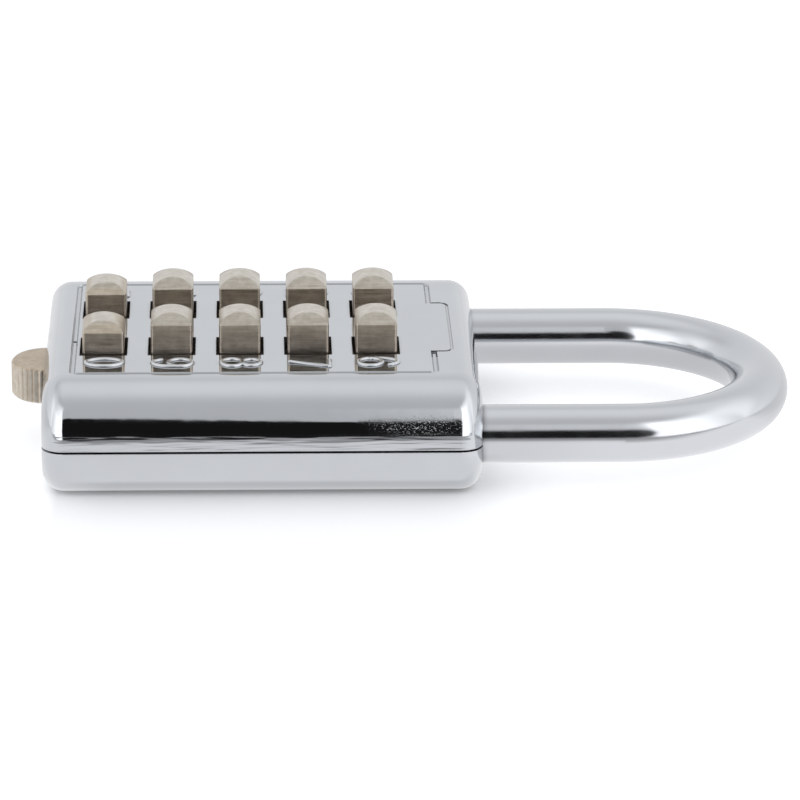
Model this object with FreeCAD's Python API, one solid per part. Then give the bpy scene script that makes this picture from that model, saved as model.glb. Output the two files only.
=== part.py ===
import FreeCAD, Part
import math
import os

# Pushbutton combination padlock, lying on its back with the buttons up and the shackle towards +X.
# A two-part zinc casting holds ten sprung buttons, a slotted gate plate moved by a knurled knob,
# a cross bolt for the short shackle leg and a pin that keeps the long leg. Sizes are in millimetres.
# Rest position: released (knob out, bolt back), with the shackle still pushed home.

os.makedirs("parts", exist_ok=True)
V = FreeCAD.Vector

# How far a rib or post runs into the wall that carries it, and how far a cut runs past the metal
root = 0.5
past = 1.0

# Driving dimensions of the case
case_length = 48.8
case_width = 44.4
cover_height = 6.1
shell_height = 6.9
shell_side_radius = 6.2
cover_side_radius = 5.2
end_radius = 2.4
end_wall = 1.8
face_wall = 1.4
floor_wall = 1.2
side_wall = 9.9
seam_groove_height = 0.25
seam_groove_depth = 0.6

# Shackle
rod_diameter = 6.5
leg_inset = 5.4
leg_reach = 15.8
heel_depth = 26.0
toe_depth = 9.0
shackle_travel = 11.0
rod_clearance = 0.1
leg_end_gap = 0.3
leg_end_chamfer = 0.4
heel_land = 2.0
heel_cut = 0.7
pin_diameter = 2.0
pin_engagement = 0.4
pin_gap = 0.2
pin_foot_stand = 0.45
pin_head_stand = 1.2
pin_hole_gap = 0.05
pin_boss_wall = 0.8
toe_notch_depth = 2.0
toe_notch_gap = 0.2

# Panel on the face
panel_left_margin = 3.0
panel_right_margin = 4.7
panel_side_margin = 6.2
panel_corner_radius = 1.0
frame_groove_width = 0.7
frame_groove_depth = 0.2
frame_groove_lean = 0.18
tab_reach = 1.9
tab_side_margin = 13.5
tab_corner_radius = 1.1
tab_groove_width = 0.35
tab_groove_depth = 0.12
tab_start = 8.3
pit_diameter = 0.5
pit_depth = 0.6
pit_offset = -4.3

# Buttons
columns = 5
first_column = 6.65
last_column_margin = 11.55
row_share = 0.526
cap_length_share = 0.608
cap_width_share = 0.866
window_gap = 0.33
cap_corner_radius = 0.3
cap_side_height = 3.34
cap_height = 4.53
cap_crown_share = 0.535
low_cap_drops = {0: 0.85, 5: 0.6}
collar_lip = 0.35
collar_thickness = 1.15
collar_gap = 0.05
stem_length_share = 0.86
stem_width_share = 0.714
stem_bottom = 3.8
notch_share = 0.35
notch_margin = 0.15
button_travel = 2.4
spring_pocket_width = 2.5
spring_pocket_depth = 2.0
spring_diameter = 2.2
spring_wire = 0.34
spring_turns = 3.0
spring_chords_per_turn = 6
spring_peg_width = 1.0
spring_peg_height = 0.8

# Gate plate and knob
plate_thickness = 1.0
plate_middle = 7.3
plate_edge = 0.73
plate_left = 4.4
plate_right_margin = 4.2
web_share = 0.346
web_gap = 0.1
stem_side_gap = 0.2
tongue_width = 5.0
tongue_reach = 2.6
knob_diameter = 8.2
knob_height = 4.1
knob_chamfer = 0.3
knob_teeth = 36
knob_tooth_depth = 0.24
knob_clearance = 0.25
knob_shoulder = 1.2
knob_neck_width = 5.4
rivet_diameter = 1.4
rivet_place = 2.3
rib_left = 9.0
rib_right_margin = 10.8
shell_rib_width = 3.0
cover_rib_width = 5.2
rib_gap = 0.1
plate_spring_length = 14.0
plate_spring_width = 2.4
plate_spring_thickness = 0.25
plate_spring_rise = 1.5
plate_spring_gap = 0.05
plate_spring_side_gap = 0.2

# Latch bolt
bolt_right_margin = 6.9
bolt_length = 3.4
bolt_bottom = 4.5
bolt_thickness = 2.1
bolt_travel = 2.0
bolt_tail = 2.8
bolt_nose_gap = 0.3
bolt_nose_chamfer = 0.4
bolt_side_gap = 0.15
bolt_pin_diameter = 1.6
bolt_pin_place = 1.2
bolt_pin_row = 5.0
bolt_pin_depth = 1.5
bolt_pin_stand = 0.4
cam_slot_gap = 0.05
bolt_guide_thickness = 1.15
bolt_guide_length = 4.3

# Cover fixings
screw_diameter = 2.5
screw_axis_height = 4.2
screw_head_diameter = 4.0
screw_head_height = 1.6
screw_socket_width = 1.9
screw_socket_depth = 0.9
screw_hole_gap = 0.1
screw_thread_length = 5.9
lug_thickness = 2.0
post_width = 4.4
post_bottom = 2.2
post_gap = 0.2
hook_inset = 2.8
hook_width = 3.0
hook_thickness = 1.0
hook_height = 1.5
hook_nib = 0.7
hook_gap = 0.1
core_inner_wall = 2.0
core_side_wall = 2.6
core_floor = 2.6
core_ceiling = 10.2
core_end_wall = 2.2

# Places worked out from the driving dimensions
seam = cover_height
face = cover_height + shell_height
ceiling = face - face_wall
floor = floor_wall
half_width = case_width / 2
pocket_half = half_width - side_wall
rod_radius = rod_diameter / 2
leg_row = half_width - leg_inset
knob_radius = knob_diameter / 2
shackle_reach = leg_reach + leg_row + rod_radius
left = knob_radius - (knob_radius + case_length + shackle_reach) / 2
right = left + case_length
plate_bottom = plate_middle - plate_thickness / 2
plate_top = plate_middle + plate_thickness / 2
channel_radius = rod_radius + rod_clearance
heel_end = right - heel_depth
toe_end = right - toe_depth
pin_row = leg_row - rod_radius + pin_engagement - pin_diameter / 2
flat_start = heel_end + heel_land
flat_end = flat_start + shackle_travel + pin_diameter + 2 * pin_gap
pin_x = flat_end - pin_gap - pin_diameter / 2
bolt_x0 = right - bolt_right_margin
bolt_x1 = bolt_x0 + bolt_length
bolt_top = bolt_bottom + bolt_thickness
bolt_tip = leg_row - rod_radius - bolt_nose_gap
bolt_pin_x = bolt_x0 + bolt_pin_place
head_seat = toe_end - leg_end_gap - screw_head_height - screw_hole_gap
lug_left = head_seat - lug_thickness
post_right = lug_left - post_gap
post_left = post_right - screw_thread_length - 2 * screw_hole_gap
screw_foot = head_seat - lug_thickness - post_gap - screw_thread_length
knob_bottom = plate_middle - knob_height / 2
knob_top = plate_middle + knob_height / 2
rib_x0 = left + rib_left
rib_x1 = right - rib_right_margin
plate_spring_x0 = (rib_x0 + rib_x1 - plate_spring_length) / 2
plate_spring_foot = plate_bottom - plate_spring_gap - plate_spring_rise - plate_spring_thickness
pin_foot = seam - rod_radius - pin_foot_stand
pin_head = seam + rod_radius + pin_head_stand
hook_row = pocket_half - hook_inset

# Buttons, their windows and the plate's webs follow the pitch of the columns and the width inside
column_pitch = (case_length - first_column - last_column_margin) / (columns - 1)
row_offset = row_share * pocket_half
cap_length = cap_length_share * column_pitch
cap_width = cap_width_share * row_offset
cap_crown_width = cap_crown_share * cap_width
window_length = cap_length + 2 * window_gap
window_width = cap_width + 2 * window_gap
collar_length = window_length + 2 * collar_lip
collar_width = window_width + 2 * collar_lip
stem_length = stem_length_share * cap_length
stem_width = stem_width_share * cap_width
notch_depth = notch_share * stem_length
web_width = web_share * column_pitch
plate_travel = column_pitch - web_width - stem_length + notch_depth - 2 * web_gap
plate_width = 2 * (row_offset + stem_width / 2 + stem_side_gap + plate_edge)

# Each button's number and the middle of its window, near row then far row
places = {}
for column in range(columns):
    column_x = left + first_column + column * column_pitch
    places[(10 - column) % 10] = (column_x, -row_offset)
    places[columns - column] = (column_x, row_offset)


def block(x0, x1, y0, y1, z0, z1):
    return Part.makeBox(x1 - x0, y1 - y0, z1 - z0, V(x0, y0, z0))


def centred_block(x, y, length, width, z0, z1):
    return block(x - length / 2, x + length / 2, y - width / 2, y + width / 2, z0, z1)


def post(x, y, z0, z1, radius):
    return Part.makeCylinder(radius, z1 - z0, V(x, y, z0), V(0, 0, 1))


def rod(x0, x1, y, z, radius):
    return Part.makeCylinder(radius, x1 - x0, V(x0, y, z), V(1, 0, 0))


def rounded_block(x0, x1, y0, y1, z0, z1, radius):
    solid = block(x0, x1, y0, y1, z0, z1)
    uprights = [e for e in solid.Edges if abs(e.tangentAt(e.FirstParameter).z) > 0.99]
    return solid.makeFillet(radius, uprights)


def prism(points, direction):
    wire = Part.makePolygon(points + [points[0]])
    return Part.Face(wire).extrude(direction)


def outline_prism(edges, direction):
    return Part.Face(Part.Wire(edges)).extrude(direction)


def line(a, b):
    return Part.LineSegment(a, b).toShape()


def arc(a, b, c):
    return Part.Arc(a, b, c).toShape()


def side_section(side_radius, z_edge, z_round):
    """Slab from the seam at z_edge to a flat at z_round, with a quarter round down each long side."""
    up = 1 if z_round > z_edge else -1
    x = left - past
    axis_y = half_width - side_radius
    axis_z = z_round - up * side_radius
    edge = [V(x, s * half_width, z_edge) for s in (1, -1)]
    spring = [V(x, s * half_width, axis_z) for s in (1, -1)]
    flat = [V(x, s * axis_y, z_round) for s in (1, -1)]
    near = V(x, axis_y, axis_z) + V(0, 1, up) * side_radius * math.sqrt(0.5)
    far = V(x, -near.y, near.z)
    edges = [line(edge[0], spring[0]), arc(spring[0], near, flat[0]), line(flat[0], flat[1]),
             arc(flat[1], far, spring[1]), line(spring[1], edge[1]), line(edge[1], edge[0])]
    return outline_prism(edges, V(case_length + 2 * past, 0, 0))


def end_outline(y, z_edge, z_round):
    """Side view of the case with its two rounded ends, straight-cut at z_edge."""
    up = 1 if z_round > z_edge else -1
    bend = end_radius * (1 - math.sqrt(0.5))
    points = []
    for x_end, inward in ((left, 1), (right, -1)):
        middle = V(x_end + inward * bend, y, z_round - up * bend)
        last = V(x_end + inward * end_radius, y, z_round)
        points.append((V(x_end, y, z_edge), V(x_end, y, z_round - up * end_radius), middle, last))
    a, b = points
    edges = [line(a[0], a[1]), arc(a[1], a[2], a[3]), line(a[3], b[3]), arc(b[3], b[2], b[1]),
             line(b[1], b[0]), line(b[0], a[0])]
    return Part.Face(Part.Wire(edges))


def plan_outline(inset, z0, z1):
    return rounded_block(left + inset, right - inset, -half_width + inset, half_width - inset, z0, z1,
                         end_radius - inset)


def case_half(side_radius, z_edge, z_round):
    """Outer form of one case half: the end radius runs unbroken round both of its ends."""
    up = 1 if z_round > z_edge else -1
    axis_y = half_width - side_radius
    axis_z = z_round - up * side_radius
    low, high = sorted((z_edge, z_round))
    ends = end_outline(-half_width - past, z_edge, z_round).extrude(V(0, case_width + 2 * past, 0))
    inside = [block(left, right, -axis_y, axis_y, low, high)]
    for y in (axis_y, -axis_y):
        turned = end_outline(y, axis_z, z_round).revolve(V(left, y, axis_z), V(1, 0, 0), 360)
        inside.append(turned)
    walls = plan_outline(0, min(z_edge, axis_z), max(z_edge, axis_z))
    return side_section(side_radius, z_edge, z_round).common(ends).common(walls.fuse(inside))


def leg_channels():
    heel = rod(heel_end - leg_end_gap, right + past, leg_row, seam, channel_radius)
    toe = rod(toe_end - leg_end_gap, right + past, -leg_row, seam, channel_radius)
    return [heel, toe]


def side_cores(z0, z1):
    """Hollows beside the pocket where no shackle leg runs."""
    x0 = left + core_end_wall
    inner = pocket_half + core_inner_wall
    outer = half_width - core_side_wall
    far = block(x0, heel_end - leg_end_gap - core_end_wall, inner, outer, z0, z1)
    near = block(x0, post_left - post_gap - core_end_wall, -outer, -inner, z0, z1)
    return [far, near]


def knob_slot():
    side = knob_radius + knob_clearance
    return block(left - past, left + end_wall + root, -side, side, knob_bottom - knob_clearance,
                 knob_top + knob_clearance)


def bolt_passage():
    gap = bolt_side_gap
    return block(bolt_x0 - gap, bolt_x1 + gap, -leg_row, -pocket_half + root, bolt_bottom - gap,
                 bolt_top + gap)


def leaning_block(x0, x1, y1, radius, lean):
    """Rounded block through the face; its foot in the groove's floor is larger all round by lean."""
    wires = []
    for grow, z in ((lean, face - frame_groove_depth), (-lean, face + frame_groove_depth)):
        layer = rounded_block(x0 - grow, x1 + grow, -y1 - grow, y1 + grow, z, z + past, radius + grow)
        wires.append(min(layer.Faces, key=lambda f: f.CenterOfMass.z).OuterWire)
    return Part.makeLoft(wires, True, True)


def panel_grooves():
    """The sunk frame line round the panel and the finer line round the blank tab."""
    x0 = left + panel_left_margin
    x1 = right - panel_right_margin
    y1 = half_width - panel_side_margin
    w = frame_groove_width
    outer = leaning_block(x0, x1, y1, panel_corner_radius, -frame_groove_lean)
    inner = leaning_block(x0 + w, x1 - w, y1 - w, panel_corner_radius - w, frame_groove_lean)
    tab_half = half_width - tab_side_margin
    tab_x0 = right - tab_start
    tab_x1 = x1 + tab_reach
    tab = rounded_block(tab_x0, tab_x1, -tab_half, tab_half, face - past, face + past, tab_corner_radius)
    frame = outer.cut(inner).cut(tab)
    g = tab_groove_width
    tab_outer = rounded_block(tab_x0, tab_x1, -tab_half, tab_half, face - tab_groove_depth, face + past,
                              tab_corner_radius)
    tab_inner = rounded_block(tab_x0 - past, tab_x1 - g, -tab_half + g, tab_half - g, face - past,
                              face + 2 * past, tab_corner_radius - g)
    inside = block(left, x1 - w, -tab_half - past, tab_half + past, face - past, face + 2 * past)
    tab_line = tab_outer.cut(tab_inner).cut(inside)
    pit = post(x0 + w / 2, pit_offset, face - pit_depth, face + past, pit_diameter / 2)
    return [frame, tab_line, pit]


def make_front_shell():
    body = case_half(shell_side_radius, seam, face)
    pocket = block(left + end_wall, right - end_wall, -pocket_half, pocket_half, seam - past, ceiling)
    body = body.cut([pocket] + side_cores(seam - past, core_ceiling))
    shell_rib = block(rib_x0, rib_x1, -shell_rib_width / 2, shell_rib_width / 2, plate_top + rib_gap,
                      ceiling + root)
    pin_boss = block(pin_x - pin_diameter, pin_x + pin_diameter, pin_row - pin_diameter / 2 - pin_boss_wall,
                     pocket_half + root, seam, ceiling + root)
    screw_post = block(post_left, post_right, -leg_row - post_width / 2, -leg_row + post_width / 2,
                       post_bottom, seam + past)
    body = body.fuse([shell_rib, pin_boss, screw_post])
    cuts = leg_channels() + panel_grooves() + [knob_slot(), bolt_passage()]
    for x, y in places.values():
        cuts.append(centred_block(x, y, window_length, window_width, ceiling - past, face + past))
    cuts.append(post(pin_x, pin_row, seam - past, ceiling - past, pin_diameter / 2))
    cuts.append(rod(post_left - past, post_right + past, -leg_row, screw_axis_height, screw_diameter / 2))
    cuts.append(screw_head_bore())
    reach = hook_width / 2 + hook_gap
    nib_top = seam + hook_height + hook_gap
    for row in (hook_row, -hook_row):
        cuts.append(block(left + end_wall - hook_nib - hook_gap, left + end_wall + root, row - reach,
                          row + reach, nib_top - hook_nib - 2 * hook_gap, nib_top))
    return body.cut(cuts).removeSplitter()


def screw_head_bore():
    return rod(head_seat, toe_end, -leg_row, screw_axis_height, screw_head_diameter / 2 + screw_hole_gap)


def make_back_cover():
    body = case_half(cover_side_radius, seam, 0)
    pocket = block(left + end_wall, right - end_wall, -pocket_half, pocket_half, floor, seam + past)
    body = body.cut([pocket] + side_cores(core_floor, seam + past))
    rib = block(rib_x0, rib_x1, -cover_rib_width / 2, cover_rib_width / 2, floor - root,
                plate_bottom - rib_gap)
    pin_boss = block(pin_x - pin_diameter, pin_x + pin_diameter, pin_row - pin_diameter / 2 - pin_boss_wall,
                     pocket_half + root, floor - root, seam)
    rail = block(bolt_x0, bolt_x1, -pocket_half - root, -bolt_tail, floor - root, bolt_bottom)
    extras = [rib, pin_boss, rail]
    gap = bolt_side_gap
    guide_end = -pocket_half + bolt_guide_length
    for x0 in (bolt_x0 - gap - bolt_guide_thickness, bolt_x1 + gap):
        extras.append(block(x0, x0 + bolt_guide_thickness, -pocket_half - root, guide_end, floor - root,
                            seam - gap))
    for x, y in places.values():
        extras.append(centred_block(x, y, spring_peg_width, spring_peg_width, floor - root,
                                    floor + spring_peg_height))
    for row in (hook_row, -hook_row):
        extras += cover_hook(row)
    body = body.fuse(extras)
    slot_half = plate_spring_width / 2 + plate_spring_side_gap
    spring_slot = block(plate_spring_x0 - plate_spring_side_gap,
                        plate_spring_x0 + plate_spring_length + plate_spring_side_gap,
                        -slot_half, slot_half, plate_spring_foot, seam + 2 * past)
    ring = block(left - past, right + past, -half_width - past, half_width + past,
                 seam - seam_groove_height, seam + past)
    ring = ring.cut(plan_outline(seam_groove_depth, seam - past, seam + 2 * past))
    screw_well = block(post_left - post_gap, lug_left, -leg_row - post_width / 2 - post_gap,
                       -leg_row + post_width / 2 + post_gap, post_bottom - post_gap, seam + past)
    shank_hole = rod(lug_left - past, head_seat + past, -leg_row, screw_axis_height,
                     screw_diameter / 2 + screw_hole_gap)
    pin_hole = post(pin_x, pin_row, pin_foot, seam + past, pin_diameter / 2 + pin_hole_gap)
    hooks = body.common(block(left, left + end_wall + hook_thickness + past, -pocket_half, pocket_half,
                              seam - past, face))
    body = body.cut(leg_channels() + [knob_slot(), bolt_passage(), spring_slot, screw_well, shank_hole,
                                      screw_head_bore(), pin_hole])
    return body.cut(ring.cut(hooks)).removeSplitter()


def cover_hook(row):
    """An upright tongue on the cover, its nib reaches into a slot in the shell's end wall."""
    x0 = left + end_wall + hook_gap
    y0 = row - hook_width / 2
    y1 = row + hook_width / 2
    foot = block(x0 - 2 * hook_gap, x0 + hook_thickness, y0, y1, floor - root, seam - hook_gap)
    tongue = block(x0, x0 + hook_thickness, y0, y1, floor, seam + hook_height)
    nib = block(x0 - hook_nib, x0 + root, y0, y1, seam + hook_height - hook_nib, seam + hook_height)
    return [foot, tongue, nib]


def make_shackle():
    bow_x = right + leg_reach
    heel = rod(heel_end, bow_x, leg_row, seam, rod_radius)
    toe = rod(toe_end, bow_x, -leg_row, seam, rod_radius)
    legs = []
    for leg in (heel, toe):
        rim = min(leg.Edges, key=lambda e: e.BoundBox.XMax)
        legs.append(leg.makeChamfer(leg_end_chamfer, [rim]))
    section = Part.Face(Part.Wire(Part.makeCircle(rod_radius, V(bow_x, leg_row, seam), V(1, 0, 0))))
    bow = section.revolve(V(bow_x, 0, seam), V(0, 0, 1), -180)
    body = legs[0].fuse([legs[1], bow])
    flat_y = leg_row - rod_radius + heel_cut
    flat = block(flat_start, flat_end, flat_y - rod_diameter, flat_y, seam - rod_diameter,
                 seam + rod_diameter)
    groove_end = flat_start + pin_diameter + 2 * pin_gap
    groove = rod(flat_start, groove_end, leg_row, seam, rod_diameter)
    groove = groove.cut(rod(flat_start - past, groove_end + past, leg_row, seam, rod_radius - heel_cut))
    notch_y = -leg_row + rod_radius - toe_notch_depth
    notch = block(bolt_x0 - toe_notch_gap, bolt_x1 + toe_notch_gap, notch_y, notch_y + rod_diameter,
                  seam - rod_diameter, seam + rod_diameter)
    return body.cut([flat, groove, notch]).removeSplitter()


def make_retaining_pin():
    return post(pin_x, pin_row, pin_foot, pin_head, pin_diameter / 2)


def make_gate_plate():
    """Slotted plate: the web left of each window edge sits in the notch of the stem to its left."""
    y1 = plate_width / 2
    plate = block(left + plate_left, right - plate_right_margin, -y1, y1, plate_bottom, plate_top)
    tongue = block(left - tongue_reach, left + plate_left + past, -tongue_width / 2, tongue_width / 2,
                   plate_bottom, plate_top)
    plate = plate.fuse(tongue)
    rivet_hole = post(left + rivet_place, 0, plate_bottom - past, plate_top + past, rivet_diameter / 2)
    cuts = [rivet_hole, cam_slot()]
    window_right = stem_length / 2 - notch_depth + web_gap
    window_left = window_right - (column_pitch - web_width)
    half = stem_width / 2 + stem_side_gap
    for x, y in places.values():
        cuts.append(block(x + window_left, x + window_right, y - half, y + half, plate_bottom - past,
                          plate_top + past))
    return plate.cut(cuts).removeSplitter()


def cam_slot():
    """Slanted slot that turns the plate's travel along X into the bolt's travel along Y."""
    r = bolt_pin_diameter / 2 + cam_slot_gap
    start = V(bolt_pin_x, -bolt_pin_row, plate_bottom - past)
    end = start - V(plate_travel, bolt_travel, 0)
    along = (end - start).normalize()
    across = V(-along.y, along.x, 0) * r
    height = plate_thickness + 2 * past
    straight = prism([start + across, end + across, end - across, start - across], V(0, 0, height))
    ends = [Part.makeCylinder(r, height, p, V(0, 0, 1)) for p in (start, end)]
    return straight.fuse(ends)


def make_pull_knob():
    """Knurled disc with chamfered faces, necked inside the case and slotted for the plate's tongue."""
    points = []
    for tooth in range(knob_teeth):
        for part, r in ((0, knob_radius), (0.5, knob_radius - knob_tooth_depth)):
            a = math.pi + 2 * math.pi * (tooth + part) / knob_teeth
            points.append(V(left + r * math.cos(a), r * math.sin(a), knob_bottom))
    disc = prism(points, V(0, 0, knob_height))
    c = knob_chamfer
    limits = []
    for z, direction in ((knob_bottom, 1), (knob_top, -1)):
        cone = Part.makeCone(knob_radius - c, knob_radius + knob_height - c, knob_height, V(left, 0, z),
                             V(0, 0, direction))
        limits.append(cone)
    disc = disc.common(limits[0]).common(limits[1])
    slot = block(left - tongue_reach, left + knob_radius + past, -tongue_width / 2, tongue_width / 2,
                 plate_bottom, plate_top)
    hole = post(left + rivet_place, 0, knob_bottom - past, knob_top + past, rivet_diameter / 2)
    sides = []
    for y0, y1 in ((knob_neck_width / 2, knob_radius + past), (-knob_radius - past, -knob_neck_width / 2)):
        sides.append(block(left + knob_shoulder, left + knob_radius + past, y0, y1, knob_bottom - past,
                           knob_top + past))
    return disc.cut([slot, hole] + sides)


def make_knob_rivet():
    return post(left + rivet_place, 0, knob_bottom, knob_top, rivet_diameter / 2)


def make_plate_spring():
    """Bowed strip in the cover's rib, its crest just under the plate."""
    half = plate_spring_length / 2
    middle = plate_spring_x0 + half
    y = -plate_spring_width / 2
    z0 = plate_spring_foot
    z1 = z0 + plate_spring_rise
    t = plate_spring_thickness
    a = [V(middle - half, y, z0), V(middle, y, z1), V(middle + half, y, z0)]
    b = [p + V(0, 0, t) for p in a]
    edges = [arc(*a), line(a[2], b[2]), arc(b[2], b[1], b[0]), line(b[0], a[0])]
    return outline_prism(edges, V(0, plate_spring_width, 0))


def make_latch_bolt():
    body = block(bolt_x0, bolt_x1, -bolt_tip, -bolt_tail, bolt_bottom, bolt_top)
    nose = [e for e in body.Edges if abs(e.BoundBox.YMax + bolt_tip) < 0.01 and e.BoundBox.ZLength > 1]
    body = body.makeChamfer(bolt_nose_chamfer, nose)
    pin_hole = post(bolt_pin_x, -bolt_pin_row, bolt_top - bolt_pin_depth, bolt_top + past,
                    bolt_pin_diameter / 2)
    return body.cut(pin_hole)


def make_bolt_pin():
    return post(bolt_pin_x, -bolt_pin_row, bolt_top - bolt_pin_depth, plate_top + bolt_pin_stand,
                bolt_pin_diameter / 2)


def make_cover_screw():
    shank = rod(screw_foot, head_seat + root, -leg_row, screw_axis_height, screw_diameter / 2)
    head_end = head_seat + screw_head_height
    head = rod(head_seat, head_end, -leg_row, screw_axis_height, screw_head_diameter / 2)
    socket = []
    for corner in range(6):
        a = math.pi / 3 * corner
        r = screw_socket_width / math.sqrt(3)
        socket.append(V(head_end - screw_socket_depth, -leg_row + r * math.cos(a),
                        screw_axis_height + r * math.sin(a)))
    return shank.fuse(head).cut(prism(socket, V(screw_socket_depth + past, 0, 0))).removeSplitter()


def make_cap(x, y, drop):
    """Arched key cap: round top across its length, sloped facets at its two ends."""
    side_top = face + cap_side_height - drop
    crown = face + cap_height - drop
    base = ceiling - collar_gap - root
    half = cap_length / 2
    end = cap_width / 2
    flat = cap_crown_width / 2
    y0 = y - end
    arch = outline_prism([line(V(x - half, y0, base), V(x - half, y0, side_top)),
                          arc(V(x - half, y0, side_top), V(x, y0, crown), V(x + half, y0, side_top)),
                          line(V(x + half, y0, side_top), V(x + half, y0, base)),
                          line(V(x + half, y0, base), V(x - half, y0, base))], V(0, cap_width, 0))
    ridge = [V(x - half, y + s * flat, crown) for s in (-1, 1)]
    near = [V(x - half, y - end, z) for z in (base, side_top)]
    far = [V(x - half, y + end, z) for z in (side_top, base)]
    slopes = prism(near + ridge + far, V(cap_length, 0, 0))
    plan = rounded_block(x - half, x + half, y - end, y + end, base, crown + past, cap_corner_radius)
    return arch.common(slopes).common(plan)


def make_button(number):
    x, y = places[number]
    drop = low_cap_drops.get(number, 0)
    collar_top = ceiling - collar_gap
    collar_bottom = collar_top - collar_thickness
    collar = centred_block(x, y, collar_length, collar_width, collar_bottom, collar_top)
    stem = centred_block(x, y, stem_length, stem_width, stem_bottom, collar_bottom + root)
    body = make_cap(x, y, drop).fuse([collar, stem])
    notch_bottom = plate_bottom - notch_margin
    notch_top = plate_top + button_travel + notch_margin
    outer = stem_length / 2 + past
    inner = stem_length / 2 - notch_depth
    reach = stem_width / 2 + past
    neutral_notch = block(x + inner, x + outer, y - reach, y + reach, notch_bottom, notch_top)
    code_notch = block(x - outer, x - inner, y - reach, y + reach, notch_bottom + button_travel, notch_top)
    pocket = centred_block(x, y, spring_pocket_width, spring_pocket_width, stem_bottom - past,
                           stem_bottom + spring_pocket_depth)
    return body.cut([neutral_notch, code_notch, pocket]).removeSplitter()


def make_button_spring(number):
    """Compression spring from the cover's floor to the top of the stem's pocket."""
    x, y = places[number]
    wire = spring_wire / 2
    radius = spring_diameter / 2 - wire
    bottom = floor + wire
    top = stem_bottom + spring_pocket_depth - wire
    chords = math.ceil(spring_turns * spring_chords_per_turn)
    rings = []
    for k in range(chords + 1):
        angle = 2 * math.pi * spring_turns * k / chords
        outward = V(math.cos(angle), math.sin(angle), 0)
        middle = V(x, y, bottom + (top - bottom) * k / chords) + outward * radius
        up = V(0, 0, wire)
        corners = [middle + outward * wire, middle + up, middle - outward * wire, middle - up]
        rings.append(Part.makePolygon(corners + corners[:1]))
    return Part.makeLoft(rings, True, True)


solids = {
    "front_shell": make_front_shell(),
    "back_cover": make_back_cover(),
    "shackle": make_shackle(),
    "retaining_pin": make_retaining_pin(),
    "gate_plate": make_gate_plate(),
    "pull_knob": make_pull_knob(),
    "knob_rivet": make_knob_rivet(),
    "plate_spring": make_plate_spring(),
    "latch_bolt": make_latch_bolt(),
    "bolt_pin": make_bolt_pin(),
    "cover_screw": make_cover_screw(),
}
for number in sorted(places):
    solids["button_%d" % number] = make_button(number)
    solids["button_spring_%d" % number] = make_button_spring(number)
for name, solid in solids.items():
    solid.exportStep("parts/%s.step" % name)
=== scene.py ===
import math
import bpy
from mathutils import Matrix, Vector


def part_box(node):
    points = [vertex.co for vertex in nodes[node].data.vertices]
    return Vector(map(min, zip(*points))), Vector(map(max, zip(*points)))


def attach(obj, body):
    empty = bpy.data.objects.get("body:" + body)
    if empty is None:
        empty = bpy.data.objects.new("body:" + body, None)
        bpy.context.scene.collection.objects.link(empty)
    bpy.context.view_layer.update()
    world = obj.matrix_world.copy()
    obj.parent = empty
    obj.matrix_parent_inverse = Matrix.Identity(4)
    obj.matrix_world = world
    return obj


# A chrome-plated pushbutton padlock on a white table, photographed from the side of its lower row of
# buttons. Lengths below are in millimetres and MM turns them to metres. Angles are in degrees.

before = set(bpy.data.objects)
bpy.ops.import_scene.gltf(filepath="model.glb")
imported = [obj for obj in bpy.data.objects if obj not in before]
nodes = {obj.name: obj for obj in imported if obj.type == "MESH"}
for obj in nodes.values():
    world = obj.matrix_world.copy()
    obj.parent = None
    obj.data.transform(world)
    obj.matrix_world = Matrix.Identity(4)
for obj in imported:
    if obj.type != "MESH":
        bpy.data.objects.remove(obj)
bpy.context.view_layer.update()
MM = 0.001

# The case in the lock's frame: its two ends along X and the panel that carries the numerals
shell_low, shell_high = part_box("front_shell")
case_left = shell_low.x / MM
case_right = shell_high.x / MM
panel_top = shell_high.z / MM

# Camera: where it stands in the lock's frame, how it is turned, and its long lens
camera_spot = (-18.07, -525.7, 191.6)
camera_turn = 1.967
camera_dip = 19.616
camera_roll = 0.385
camera_lens = 219.2
camera_clip_start = 10.0
sensor_width = 36.0

# The white tent. Its cloth is lit unevenly from the camera's side over the top to the back, and
# strongly by a softbox to the left and right of the dark opening where the camera stands. A pair is
# where a change starts and ends, and a third number is how softly both of them come. They are
# angles, but for upper_left_side, which is the X of a direction.
tent_colour = "FCFDFF"
tent_levels = ((0, 0.72), (40, 0.70), (56, 0.71), (68, 0.73), (78, 0.80), (88, 0.92), (98, 1.01),
               (110, 1.04), (122, 1.00), (137, 0.88), (150, 0.91), (180, 0.92))
softbox_levels = ((0, 1.0), (21, 1.05), (27, 2.8), (45, 2.8), (62, 2.5), (75, 2.0), (90, 1.5), (109, 1.25),
                  (130, 1.08), (180, 1.0))
softbox_rise = (-12.0, 53.0, 11.0)
near_right_share = 1.35
near_right_turn = (3.0, 40.0, 2.0)
near_right_rise = (33.0, 54.0, 5.0)
upper_left_share = 0.74
upper_left_side = (-0.25, -0.65)
upper_left_rise = (25.0, 45.0)

# The opening is an oval. Its upper edge falls from left to right in front of the case's side, and
# past the case's right end, where the shackle mirrors it, it is as high as the lower one is low.
# opening_fall and opening_fall_end are the X of a direction.
opening_level = 0.011
opening_softness = 0.07
opening_middle = 16.0
opening_half_turn = 25.0
opening_half_height = 16.2
opening_left_height = 22.0
opening_right_height = 11.8
opening_fall = (-0.041, 0.03)
opening_fall_end = (0.05, 0.058)

# The table as the camera sees it: painted light, a glow that only the camera sees, keeps it white but for
# the lock's shadow. It is weaker under the case, which paints that shadow darker, and stronger to the
# right and beside the knob's end
floor_size = 4000.0
floor_paint = "E5E6E8"
fill_left = 0.22
fill_right = 0.45
fill_change = (3.0, 19.0)
fill_under_case = 0.65
under_case_depth = (0.0, 25.0, 8.0)
fill_knob_end = 0.46
knob_end_side = (3.5, -0.5)
knob_end_depth = (-30.0, 32.0, 14.0)
case_margin = 4.0
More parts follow.
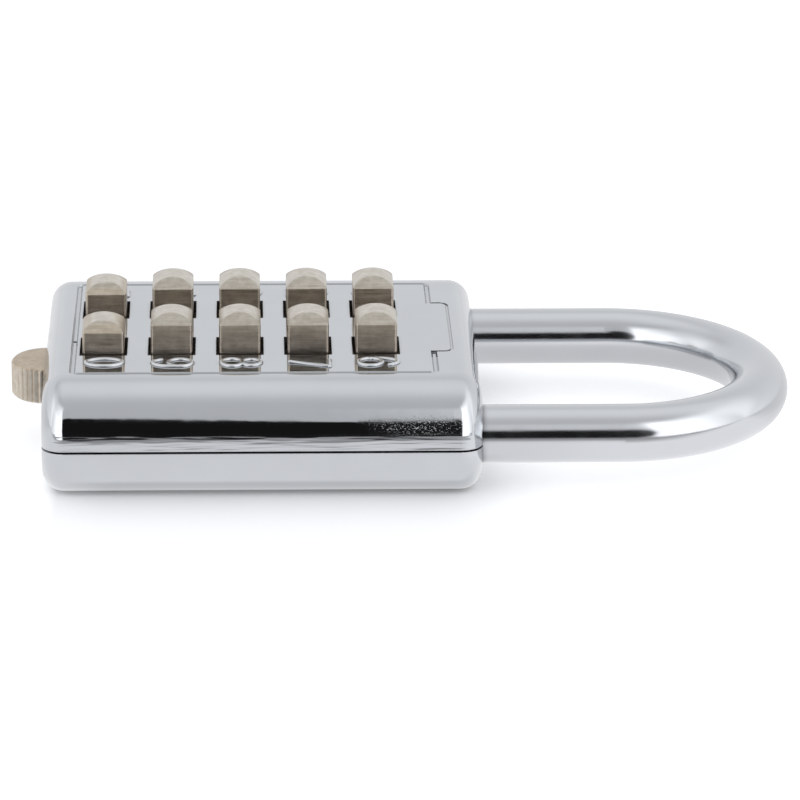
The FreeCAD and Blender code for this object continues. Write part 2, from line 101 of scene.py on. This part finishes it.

# The table as the chrome mirrors it, a painted reflection: a glow that only glossy rays see. It is greyer
# further out and inside the shackle, brighter beside the bow (painted light), and darker at the case's
# foot (painted shadow)
mirrored_colour = "FDFDFF"
mirrored_near_level = 1.03
mirrored_far_level = 0.42
mirrored_change = (34.0, 76.0)
loop_level = 0.86
loop_change = (8.0, -10.0)
bow_share = 1.15
bow_side = (8.0, 28.0)
bow_depth = (0.0, 12.0)
case_foot_shadow_level = 0.8
case_foot_shadow_depth = (17.0, 21.2, 0.6)

# Soft noise keeps near its middle, so it is stretched from these low to these high values. open_span
# is how open a spot is where painted shade in grooves is full and where it has gone.
noise_span = (0.3, 0.7)
haze_span = (0.3, 0.75)
tone_span = (0.35, 0.65)
open_span = (0.3, 0.96)

# Bright chrome: what disturbs its mirror, as blots per millimetre and depths in millimetres
chrome_shade = "CACDD0"
chrome_blots = (0.12, 0.12, 0.12)
# Painted shade that darkens its grooves and corners, and how far it reaches
chrome_groove_shade = "636466"
chrome_groove_shade_reach = 0.8
haze_blots = (0.3, 0.3, 0.3)
haze_growth = 1.6
swim_blots = (0.22, 0.35, 0.35)
swim_depth = 0.012

# Near its ends the case falls away by worn_curve times the square of the way past flat_half_length
flat_half_length = 21.0
worn_curve = 0.06

# Ripples of the polishing wheel on the case's long sides, which grow over ripple_rise down towards
# the joint
ripple_blots = (0.09, 0.7, 1.15)
ripple_depth = 0.12
ripple_haze = 0.08
ripple_rise = (8.9, 7.1)
ripple_side = (21.2, 21.9)

# Pitted patch on the case's near side: its middle, how far it reaches, and over which shares of that
# reach it thins out
pitted_middle = (1.0, -21.8, 8.9)
pitted_reach = (8.5, 3.0, 1.8)
pit_blots = (4.2, 7.0, 8.4)
pit_share = (0.54, 0.76)
pit_depth = 0.009
pit_haze = 0.07
pit_fall = (1.0, 0.2)
pit_haze_fall = (1.0, 0.3)

# The joint on the knob's end, between its two heights, starting this far inside the end
joint_shade = "1B1B1B"
joint_rise = (5.88, 6.07, 0.03)
joint_side = (0.6, 0.4)

# Buttons: where the material finds each cap's crown, its sloped ends and its sides
button_low, button_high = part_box("button_9")
button_row = abs(button_low.y + button_high.y) / 2 / MM
crown_half_width = 1.45
crown_softness = 0.3
cap_side_top = 16.34
cap_side_softness = 0.15
foot_rise = 0.5
# Painted shade: the caps' slopes and sides are darker and browner than their crowns, darkest at the foot by
# the panel
slope_painted_shade = "EAE8E5"
side_painted_shade = "EDE6DD"
foot_painted_shade = "CBC3C0"

# Pull knob: painted shade makes its top face darker and browner than its knurled rim, and darkens its
# grooves
knob_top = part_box("pull_knob")[1].z / MM
knob_face_rise = (-0.35, -0.1)
knob_face_painted_shade = "E3DBD1"
knob_groove_painted_shade = "8E867C"
knob_groove_shade_reach = 0.5

# Satin nickel and plain steel. The dullest spots of steel are steel_growth times as dull as its
# brightest, and haze_growth says the same of chrome.
patch_blots = (1.1, 1.1, 1.1)
steel_growth = 1.4
steel_depth = 0.004

# Raised numerals beside the buttons. closed_gap counts in a numeral's unit box.
numeral_length = 4.4
numeral_offset = 0.12
numeral_width = 2.4
numeral_row = 12.28
bead_radius = 0.28
bead_height = 0.26
bead_sides = 14
ball_rings = 7
stroke_points = 28
tip_angle = 25.0
closed_gap = 0.01


def linear(code):
    """A colour written as six hexadecimal digits, turned to the linear values that shaders take."""
    channels = []
    for k in (0, 2, 4):
        c = int(code[k:k + 2], 16) / 255
        channels.append(c / 12.92 if c <= 0.04045 else ((c + 0.055) / 1.055) ** 2.4)
    return (*channels, 1.0)


def add(tree, kind, inputs=None, **settings):
    """Adds a node, sets its properties, then fills its inputs or links sockets to them."""
    made = tree.nodes.new(kind)
    for name, value in settings.items():
        setattr(made, name, value)
    for name, value in (inputs or {}).items():
        if isinstance(value, bpy.types.NodeSocket):
            tree.links.new(value, made.inputs[name])
        else:
            made.inputs[name].default_value = value
    return made


def math_node(tree, operation, a, b=0.0):
    return add(tree, "ShaderNodeMath", {0: a, 1: b}, operation=operation).outputs[0]


def product(tree, a, b):
    return math_node(tree, "MULTIPLY", a, b)


def axes_of(tree, place):
    return add(tree, "ShaderNodeSeparateXYZ", {0: place}).outputs


def fade(tree, value, start, end, low=0.0, high=1.0):
    """Rises smoothly from low to high while value goes from start to end."""
    rise = add(tree, "ShaderNodeMapRange", {"Value": value, "From Min": start, "From Max": end,
                                            "To Min": low, "To Max": high}, interpolation_type="SMOOTHSTEP")
    return rise.outputs["Result"]


def band(tree, value, start, end, soft):
    """1 between start and end, 0 outside, with both edges blurred by soft to either side."""
    rise = fade(tree, value, start - soft, start + soft)
    fall = fade(tree, value, end - soft, end + soft, 1.0, 0.0)
    return product(tree, rise, fall)


def mixed(tree, kind, share, low, high, **settings):
    """Goes from low to high with share. The node has sockets for every kind, so they go by number."""
    first, result = {"FLOAT": (2, 0), "RGBA": (6, 2)}[kind]
    mixer = add(tree, "ShaderNodeMix", {0: share, first: low, first + 1: high}, data_type=kind, **settings)
    return mixer.outputs[result]


def blend(tree, share, low, high):
    return mixed(tree, "FLOAT", share, low, high)


def tint(tree, share, low, high):
    return mixed(tree, "RGBA", share, low, high)


def ramp(tree, value, points):
    """Smooth curve through given points of value and level. The curve itself can't go past 1."""
    start, end = points[0][0], points[-1][0]
    peak = max(level for place, level in points)
    share = add(tree, "ShaderNodeMapRange", {"Value": value, "From Min": start, "From Max": end}).outputs[0]
    made = add(tree, "ShaderNodeFloatCurve", {"Value": share})
    curve = made.mapping.curves[0]
    for place, level in points[1:-1]:
        curve.points.new((place - start) / (end - start), level / peak)
    curve.points[0].location = (0.0, points[0][1] / peak)
    curve.points[-1].location = (1.0, points[-1][1] / peak)
    made.mapping.update()
    return product(tree, made.outputs["Value"], peak)


def new_material(name):
    """An empty metal: its tree, its shader, and the surface's place in millimetres."""
    material = bpy.data.materials.new(name)
    material.use_nodes = True
    tree = material.node_tree
    shader = tree.nodes["Principled BSDF"]
    shader.inputs["Metallic"].default_value = 1.0
    place = add(tree, "ShaderNodeTexCoord").outputs["Object"]
    in_mm = add(tree, "ShaderNodeVectorMath", {0: place, "Scale": 1 / MM}, operation="SCALE").outputs[0]
    return material, tree, shader, in_mm


def finish_material(tree, shader, tone, rough, normal):
    tree.links.new(tone, shader.inputs["Base Color"])
    tree.links.new(rough, shader.inputs["Roughness"])
    tree.links.new(normal, shader.inputs["Normal"])


def noise(tree, place, per_mm, detail=2.0, roughness=0.5):
    """Soft noise; per_mm is how many blots it has in a millimetre along X, Y and Z."""
    scaled = add(tree, "ShaderNodeVectorMath", {0: place, 1: per_mm}, operation="MULTIPLY").outputs[0]
    grain = add(tree, "ShaderNodeTexNoise", {"Vector": scaled, "Scale": 1.0, "Detail": detail,
                                             "Roughness": roughness})
    return grain.outputs["Fac"]


def bumped(tree, height, depth_mm, normal=None):
    """Bump whose full swing in height is depth_mm."""
    inputs = {"Height": height, "Strength": 1.0, "Distance": depth_mm * MM}
    if normal is not None:
        inputs["Normal"] = normal
    return add(tree, "ShaderNodeBump", inputs).outputs["Normal"]


def soft_edges(tree, radius_mm):
    """The shading of edges that are rounded over by this radius."""
    return add(tree, "ShaderNodeBevel", {"Radius": radius_mm * MM}, samples=4).outputs["Normal"]


def open_metal(tree, reach_mm):
    """1 on open metal, down to 0 deep in grooves and corners, where painted shade darkens the metal."""
    around = add(tree, "ShaderNodeAmbientOcclusion", {"Distance": reach_mm * MM}, samples=6)
    return fade(tree, around.outputs["AO"], *open_span)


def worn_ends(tree, place, normal):
    """The polishing wheel rounds the case over near its ends, before the corners begin."""
    along = math_node(tree, "SUBTRACT", axes_of(tree, place)["X"], (case_left + case_right) / 2)
    past = math_node(tree, "SUBTRACT", math_node(tree, "ABSOLUTE", along), flat_half_length)
    past = math_node(tree, "MAXIMUM", past, 0.0)
    fall = product(tree, math_node(tree, "POWER", past, 2.0), -worn_curve)
    return bumped(tree, fall, 1.0, normal)


def drawn_joint(tree, place, tone):
    """The solids have no groove at the joint on the middle of the knob's end, so it is drawn there."""
    axes = axes_of(tree, place)
    at_end = fade(tree, axes["X"], case_left + joint_side[0], case_left + joint_side[1])
    joint = product(tree, at_end, band(tree, axes["Z"], *joint_rise))
    return tint(tree, joint, tone, linear(joint_shade))


def rippled(tree, place, normal, rough):
    """Long ripples that the polishing wheel left on the case's sides, duller than the rest."""
    axes = axes_of(tree, place)
    outside = fade(tree, math_node(tree, "ABSOLUTE", axes["Y"]), *ripple_side)
    where = product(tree, fade(tree, axes["Z"], *ripple_rise), outside)
    ripple = product(tree, noise(tree, place, ripple_blots), where)
    rough = math_node(tree, "ADD", rough, product(tree, where, ripple_haze))
    return bumped(tree, ripple, ripple_depth, normal), rough


def pitted(tree, place, normal, rough):
    """A patch of fine pits in the plating, thinning out from its middle."""
    spot = add(tree, "ShaderNodeVectorMath", {0: place, 1: pitted_middle}, operation="SUBTRACT").outputs[0]
    spot = add(tree, "ShaderNodeVectorMath", {0: spot, 1: pitted_reach}, operation="DIVIDE").outputs[0]
    spot = add(tree, "ShaderNodeVectorMath", {0: spot}, operation="LENGTH").outputs["Value"]
    pits = fade(tree, noise(tree, place, pit_blots, detail=3.0, roughness=0.7), *pit_share)
    pits = product(tree, pits, fade(tree, spot, *pit_fall))
    rough = math_node(tree, "ADD", rough, product(tree, fade(tree, spot, *pit_haze_fall), pit_haze))
    return bumped(tree, pits, pit_depth, normal), rough


def bright_chrome(name, colour, haze, edge_radius, on_case=False, scuffed=False):
    """Bright chrome over copper and nickel on a polished zinc casting: a clear, slightly blue mirror.

    The casting under the plate isn't quite flat, so reflections swim a little."""
    material, tree, shader, place = new_material(name)
    tone = tint(tree, noise(tree, place, chrome_blots), linear(colour), linear(chrome_shade))
    # Painted shade darkens the grooves and corners
    tone = tint(tree, open_metal(tree, chrome_groove_shade_reach), linear(chrome_groove_shade), tone)
    cloud = noise(tree, place, haze_blots, detail=4.0)
    rough = fade(tree, cloud, *haze_span, haze, haze * haze_growth)
    normal = bumped(tree, noise(tree, place, swim_blots), swim_depth, soft_edges(tree, edge_radius))
    if on_case:
        tone = drawn_joint(tree, place, tone)
        normal = worn_ends(tree, place, normal)
    if scuffed:
        normal, rough = rippled(tree, place, normal, rough)
        normal, rough = pitted(tree, place, normal, rough)
    finish_material(tree, shader, tone, rough, normal)
    return material


def button_painted_shade(tree, place):
    """Painted shade: the buttons' slopes and sides are darker and browner than their crowns, most at the
    panel.
    """
    axes = axes_of(tree, place)
    from_row = math_node(tree, "SUBTRACT", math_node(tree, "ABSOLUTE", axes["Y"]), button_row)
    from_row = math_node(tree, "ABSOLUTE", from_row)
    slope = fade(tree, from_row, crown_half_width, crown_half_width + crown_softness)
    side = fade(tree, axes["Z"], cap_side_top + cap_side_softness, cap_side_top - cap_side_softness)
    foot = fade(tree, axes["Z"], cap_side_top, panel_top - foot_rise)
    above = tint(tree, slope, linear("FFFFFF"), linear(slope_painted_shade))
    return tint(tree, side, above, tint(tree, foot, linear(side_painted_shade), linear(foot_painted_shade)))


def knob_painted_shade(tree, place):
    """Painted shade: the knob's face is darker and browner than its rim, and the grooves of its knurl are
    dark.
    """
    low, high = knob_face_rise
    face = fade(tree, axes_of(tree, place)["Z"], knob_top + low, knob_top + high)
    shaded_face = tint(tree, face, linear("FFFFFF"), linear(knob_face_painted_shade))
    return tint(tree, open_metal(tree, knob_groove_shade_reach), linear(knob_groove_painted_shade), shaded_face)


def satin_nickel(name, dark, light, brushing, depth, edge_radius, dullness, painted_shade):
    """Satin nickel on brass: a warm grey metal, dulled by fine brush lines and darkened by painted shade.

    Real brush lines are about 0.02 mm apart; they are drawn coarser here so that they show."""
    material, tree, shader, place = new_material(name)
    lines = noise(tree, place, brushing, detail=3.0, roughness=0.65)
    patches = noise(tree, place, patch_blots, detail=5.0, roughness=0.6)
    share = product(tree, math_node(tree, "ADD", lines, patches), 0.5)
    tone = tint(tree, fade(tree, share, *tone_span), linear(dark), linear(light))
    tone = mixed(tree, "RGBA", 1.0, tone, painted_shade(tree, place), blend_type="MULTIPLY")
    rough = fade(tree, lines, *noise_span, *dullness)
    finish_material(tree, shader, tone, rough, bumped(tree, lines, depth, soft_edges(tree, edge_radius)))
    return material


def plain_steel(name, dark, light, rough, blots):
    """Steel as it leaves the press, lathe or coiler, with a thin zinc or oil film: dull and mottled."""
    material, tree, shader, place = new_material(name)
    mottle = noise(tree, place, (blots, blots, blots), detail=3.0)
    tone = tint(tree, mottle, linear(dark), linear(light))
    rough = fade(tree, mottle, *noise_span, rough, rough * steel_growth)
    finish_material(tree, shader, tone, rough, bumped(tree, mottle, steel_depth))
    return material


case_chrome = bright_chrome("bright chrome on the case", "C3C5C8", haze=0.045, edge_radius=0.10,
                            on_case=True, scuffed=True)
cover_chrome = bright_chrome("bright chrome on the back cover", "C3C5C8", haze=0.07, edge_radius=0.12,
                             on_case=True)
shackle_chrome = bright_chrome("polished chrome on steel rod", "C8C9CC", haze=0.115, edge_radius=0.1)
numeral_chrome = bright_chrome("bright chrome on the raised numerals", "DFE0E1", haze=0.34,
                               edge_radius=0.03)
button_nickel = satin_nickel("satin nickel, brushed along the rows", "C1BAAE", "D9D4CA", (0.25, 5.0, 5.0),
                             depth=0.012, edge_radius=0.12, dullness=(0.28, 0.40), painted_shade=button_painted_shade)
knob_nickel = satin_nickel("satin nickel on the knurled knob", "C6BCAD", "DDD5C8", (2.0, 2.0, 0.5),
                           depth=0.006, edge_radius=0.05, dullness=(0.30, 0.42), painted_shade=knob_painted_shade)
plate_steel = plain_steel("stamped steel, zinc plated", "8F9193", "A9ABAC", rough=0.34, blots=0.8)
pin_steel = plain_steel("ground steel pins", "9A9A9A", "B0B0AF", rough=0.25, blots=1.5)
spring_steel = plain_steel("drawn spring wire", "8C8A86", "A3A19C", rough=0.3, blots=3.0)
screw_steel = plain_steel("black oiled socket screw", "4E4F52", "66676A", rough=0.3, blots=1.5)

# What each solid is made of
finishes = {
    "front_shell": case_chrome,
    "back_cover": cover_chrome,
    "shackle": shackle_chrome,
    "retaining_pin": pin_steel,
    "gate_plate": plate_steel,
    "pull_knob": knob_nickel,
    "knob_rivet": pin_steel,
    "plate_spring": spring_steel,
    "latch_bolt": plate_steel,
    "bolt_pin": pin_steel,
    "cover_screw": screw_steel,
}
for name, piece in nodes.items():
    if name.startswith("button_spring"):
        material = spring_steel
    elif name.startswith("button"):
        material = button_nickel
    else:
        material = finishes[name]
    if not piece.material_slots:
        piece.data.materials.append(material)
    for holder in piece.material_slots:
        holder.material = material


def arc(u, v, radius_u, radius_v, start=0.0, end=360.0):
    """Points along part of an ellipse in the numeral's unit box, u to its right and v up."""
    points = []
    for k in range(stroke_points + 1):
        a = math.radians(start + (end - start) * k / stroke_points)
        points.append((u + radius_u * math.cos(a), v + radius_v * math.sin(a)))
    return points


def turned(strokes):
    return [[(1 - u, 1 - v) for u, v in stroke] for stroke in strokes]


def numeral_strokes(number):
    """The bead lines of one numeral, as lists of points in its unit box."""
    six = [arc(0.5, 0.5, 0.5, 0.5, 205, 35), arc(0.5, 0.3, 0.5, 0.3)]
    shapes = {
        0: [arc(0.42, 0.51, 0.5, 0.46)],
        1: [[(0.2, 0.78), (0.55, 1.0), (0.55, 0.0)]],
        2: [arc(0.5, 0.72, 0.47, 0.28, 165, -35) + [(0.05, 0.0), (1.0, 0.0)]],
        3: [arc(0.47, 0.76, 0.42, 0.24, 150, -90), arc(0.47, 0.26, 0.5, 0.26, 90, -150)],
        4: [[(0.75, 0.0), (0.75, 1.0), (0.0, 0.3), (1.0, 0.3)]],
        5: [[(0.92, 1.0), (0.16, 1.0), (0.08, 0.56)] + arc(0.47, 0.33, 0.5, 0.33, 130, -150)],
        6: six,
        7: [[(0.16, 1.0), (1.1, 1.0), (0.9, 0.8), (0.45, 0.0)]],
        8: [arc(0.5, 0.27, 0.5, 0.27), arc(0.5, 0.76, 0.42, 0.24)],
        9: turned(six),
    }
    return shapes[number]


def bead_tree():
    """Follows each line with a half-sunk round bead, with a ball at each end and sharp corner, which
    are the points with tilt."""
    tree = bpy.data.node_groups.new("raised bead", "GeometryNodeTree")
    face = tree.interface
    face.new_socket("Geometry", in_out="INPUT", socket_type="NodeSocketGeometry")
    face.new_socket("Radius", in_out="INPUT", socket_type="NodeSocketFloat")
    face.new_socket("Sides", in_out="INPUT", socket_type="NodeSocketInt")
    face.new_socket("Material", in_out="INPUT", socket_type="NodeSocketMaterial")
    face.new_socket("Geometry", in_out="OUTPUT", socket_type="NodeSocketGeometry")
    start = add(tree, "NodeGroupInput").outputs
    profile = add(tree, "GeometryNodeCurvePrimitiveCircle", {"Resolution": start["Sides"],
                                                             "Radius": start["Radius"]})
    tube = add(tree, "GeometryNodeCurveToMesh", {"Curve": start["Geometry"], "Fill Caps": True,
                                                 "Profile Curve": profile.outputs["Curve"]})
    tilt = add(tree, "GeometryNodeInputCurveTilt").outputs[0]
    marked = add(tree, "FunctionNodeCompare", {"A": tilt, "B": 0.5}, operation="GREATER_THAN").outputs[0]
    ball = add(tree, "GeometryNodeMeshUVSphere", {"Segments": start["Sides"], "Rings": ball_rings,
                                                  "Radius": start["Radius"]})
    tips = add(tree, "GeometryNodeInstanceOnPoints", {"Points": start["Geometry"], "Selection": marked,
                                                      "Instance": ball.outputs["Mesh"]})
    both = add(tree, "GeometryNodeJoinGeometry")
    tree.links.new(tube.outputs["Mesh"], both.inputs[0])
    tree.links.new(tips.outputs["Instances"], both.inputs[0])
    real = add(tree, "GeometryNodeRealizeInstances", {"Geometry": both.outputs[0]})
    smooth = add(tree, "GeometryNodeSetShadeSmooth", {"Geometry": real.outputs[0]})
    finish = add(tree, "GeometryNodeSetMaterial", {"Geometry": smooth.outputs[0],
                                                   "Material": start["Material"]})
    add(tree, "NodeGroupOutput", {"Geometry": finish.outputs[0]})
    return tree


def socket_id(tree, name):
    return next(item.identifier for item in tree.interface.items_tree
                if item.name == name and item.in_out == "INPUT")


def is_tip(points, k, closed):
    """True at a line's open end or sharp corner, where the bead needs a ball."""
    if not closed and k in (0, len(points) - 1):
        return True
    before = Vector(points[k]) - Vector(points[k - 1])
    after = Vector(points[(k + 1) % len(points)]) - Vector(points[k])
    return before.angle(after) > math.radians(tip_angle)


def make_numerals():
    """All ten numerals as one piece: their tops point to the shackle, outward of the buttons."""
    curve = bpy.data.curves.new("numeral lines", "CURVE")
    curve.dimensions = "3D"
    face_z = shell_high.z
    for number in range(10):
        low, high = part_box("button_%d" % number)
        middle_x = (low.x + high.x) / 2
        side = -1 if low.y + high.y < 0 else 1
        for stroke in numeral_strokes(number):
            closed = math.dist(stroke[0], stroke[-1]) < closed_gap
            points = stroke[:-1] if closed else stroke
            line = curve.splines.new("POLY")
            line.points.add(len(points) - 1)
            line.use_cyclic_u = closed
            for k, (u, v) in enumerate(points):
                point = line.points[k]
                point.tilt = 1.0 if is_tip(points, k, closed) else 0.0
                x = middle_x + (numeral_offset + (v - 0.5) * numeral_length) * MM
                y = side * numeral_row * MM - (u - 0.5) * numeral_width * MM
                point.co = (x, y, face_z, 1.0)
    lines = bpy.data.objects.new("numeral_lines", curve)
    bpy.context.scene.collection.objects.link(lines)
    tree = bead_tree()
    modifier = lines.modifiers.new("bead", "NODES")
    modifier.node_group = tree
    modifier[socket_id(tree, "Radius")] = bead_radius * MM
    modifier[socket_id(tree, "Sides")] = bead_sides
    modifier[socket_id(tree, "Material")] = numeral_chrome
    mesh = bpy.data.meshes.new_from_object(lines.evaluated_get(bpy.context.evaluated_depsgraph_get()))
    bpy.data.objects.remove(lines)
    for vertex in mesh.vertices:
        vertex.co.z = face_z + (vertex.co.z - face_z) * bead_height / bead_radius
    piece = bpy.data.objects.new("numerals", mesh)
    bpy.context.scene.collection.objects.link(piece)
    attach(piece, "case")


def opening_share(tree, axes, height, turn):
    """1 in the dark opening and 0 on the cloth round it."""
    tall = fade(tree, axes["X"], *opening_fall, opening_left_height, opening_right_height)
    tall = blend(tree, fade(tree, axes["X"], *opening_fall_end), tall, opening_half_height)
    above = math_node(tree, "SUBTRACT", height, opening_middle)
    upper = math_node(tree, "DIVIDE", math_node(tree, "MAXIMUM", above, 0.0), tall)
    lower = math_node(tree, "DIVIDE", math_node(tree, "MINIMUM", above, 0.0), opening_half_height)
    aside = math_node(tree, "POWER", math_node(tree, "DIVIDE", turn, opening_half_turn), 2.0)
    above = math_node(tree, "ADD", upper, lower)
    outward = add(tree, "ShaderNodeCombineXYZ", {"X": aside, "Y": above}).outputs[0]
    outward = add(tree, "ShaderNodeVectorMath", {0: outward}, operation="LENGTH").outputs["Value"]
    return fade(tree, outward, 1 - opening_softness, 1 + opening_softness, 1.0, 0.0)


def make_world():
    """White tent all round, with a dark opening at the camera and a softbox on each side of it."""
    world = bpy.data.worlds.new("white tent")
    bpy.context.scene.world = world
    world.use_nodes = True
    tree = world.node_tree
    tree.nodes.clear()
    axes = axes_of(tree, add(tree, "ShaderNodeTexCoord").outputs["Generated"])
    toward = product(tree, axes["Y"], -1.0)
    height = math_node(tree, "DEGREES", math_node(tree, "ARCSINE", axes["Z"]))
    over = math_node(tree, "DEGREES", math_node(tree, "ARCTAN2", axes["Z"], toward))
    turn = math_node(tree, "DEGREES", math_node(tree, "ARCTAN2", axes["X"], toward))
    upper_left = fade(tree, height, *upper_left_rise)
    upper_left = product(tree, fade(tree, axes["X"], *upper_left_side), upper_left)
    near_right = product(tree, band(tree, turn, *near_right_turn), band(tree, height, *near_right_rise))
    turn = math_node(tree, "ABSOLUTE", turn)
    softbox = blend(tree, band(tree, height, *softbox_rise), 1.0, ramp(tree, turn, softbox_levels))
    level = product(tree, ramp(tree, over, tent_levels), softbox)
    level = product(tree, level, blend(tree, upper_left, 1.0, upper_left_share))
    level = product(tree, level, blend(tree, near_right, 1.0, near_right_share))
    level = blend(tree, opening_share(tree, axes, height, turn), level, opening_level)
    tent = add(tree, "ShaderNodeBackground", {"Color": linear(tent_colour), "Strength": level})
    white = add(tree, "ShaderNodeBackground", {"Color": (1, 1, 1, 1), "Strength": 1.0})
    seen = add(tree, "ShaderNodeLightPath").outputs["Is Camera Ray"]
    both = add(tree, "ShaderNodeMixShader", {0: seen, 1: tent.outputs[0], 2: white.outputs[0]})
    add(tree, "ShaderNodeOutputWorld", {"Surface": both.outputs[0]})


def camera_fill(tree, beside, out, by_case):
    """Painted light on the table that only the camera sees, weakened under the case into painted shadow.
    beside and out are its X and its way to the camera.
    """
    fill = fade(tree, beside, *fill_change, fill_left, fill_right)
    under = product(tree, by_case, band(tree, out, *under_case_depth))
    fill = product(tree, fill, blend(tree, under, 1.0, fill_under_case))
    at_end = fade(tree, beside, case_left + knob_end_side[0], case_left + knob_end_side[1])
    at_end = product(tree, at_end, band(tree, out, *knob_end_depth))
    return math_node(tree, "MAXIMUM", fill, product(tree, at_end, fill_knob_end))


def mirrored_level(tree, beside, out, by_case):
    """How bright the painted reflection of the table is, with painted shadow at the case's foot."""
    level = fade(tree, out, *mirrored_change, mirrored_near_level, mirrored_far_level)
    level = product(tree, level, fade(tree, out, *loop_change, 1.0, loop_level))
    bow = product(tree, fade(tree, beside, *bow_side), fade(tree, out, *bow_depth))
    level = product(tree, level, blend(tree, bow, 1.0, bow_share))
    foot = product(tree, by_case, band(tree, out, *case_foot_shadow_depth))
    return blend(tree, foot, level, case_foot_shadow_level)


def make_floor():
    """Table that painted light keeps white to the camera but for the lock's shadow, and that chrome mirrors
    as a painted reflection, greyer further out.
    """
    half = floor_size / 2 * MM
    corners = [(-half, -half, 0), (half, -half, 0), (half, half, 0), (-half, half, 0)]
    mesh = bpy.data.meshes.new("floor")
    mesh.from_pydata(corners, [], [(0, 1, 2, 3)])
    floor = bpy.data.objects.new("floor", mesh)
    bpy.context.scene.collection.objects.link(floor)
    material = bpy.data.materials.new("white table")
    material.use_nodes = True
    tree = material.node_tree
    tree.nodes.clear()
    axes = axes_of(tree, add(tree, "ShaderNodeTexCoord").outputs["Object"])
    beside = product(tree, axes["X"], 1 / MM)
    out = product(tree, axes["Y"], -1 / MM)
    by_case = band(tree, beside, case_left + case_margin, case_right, case_margin)
    path = add(tree, "ShaderNodeLightPath").outputs
    fill = product(tree, path["Is Camera Ray"], camera_fill(tree, beside, out, by_case))
    glow = add(tree, "ShaderNodeEmission", {"Color": (1, 1, 1, 1), "Strength": fill})
    paint = add(tree, "ShaderNodeBsdfDiffuse", {"Color": linear(floor_paint)})
    table = add(tree, "ShaderNodeAddShader", {0: paint.outputs[0], 1: glow.outputs[0]})
    level = mirrored_level(tree, beside, out, by_case)
    mirrored = add(tree, "ShaderNodeEmission", {"Color": linear(mirrored_colour), "Strength": level})
    both = add(tree, "ShaderNodeMixShader", {0: path["Is Glossy Ray"], 1: table.outputs[0],
                                             2: mirrored.outputs[0]})
    add(tree, "ShaderNodeOutputMaterial", {"Surface": both.outputs[0]})
    mesh.materials.append(material)


def make_camera():
    """Camera that stands at its spot and is turned, dipped and rolled about it."""
    turn = math.radians(camera_turn)
    dip = math.radians(camera_dip)
    roll = math.radians(camera_roll)
    ahead = Vector((math.sin(turn) * math.cos(dip), math.cos(turn) * math.cos(dip), -math.sin(dip)))
    right = Vector((math.cos(turn), -math.sin(turn), 0))
    up = right.cross(ahead)
    side = right * math.cos(roll) + up * math.sin(roll)
    top = up * math.cos(roll) - right * math.sin(roll)
    data = bpy.data.cameras.new("camera")
    data.sensor_width = sensor_width
    data.lens = camera_lens
    data.clip_start = camera_clip_start * MM
    camera = bpy.data.objects.new("camera", data)
    columns = Matrix((side, top, -ahead)).transposed().to_4x4()
    camera.matrix_world = Matrix.Translation(Vector(camera_spot) * MM) @ columns
    bpy.context.scene.collection.objects.link(camera)
    bpy.context.scene.camera = camera


make_numerals()
make_world()
make_floor()
make_camera()
bpy.context.scene.view_settings.view_transform = "Standard"
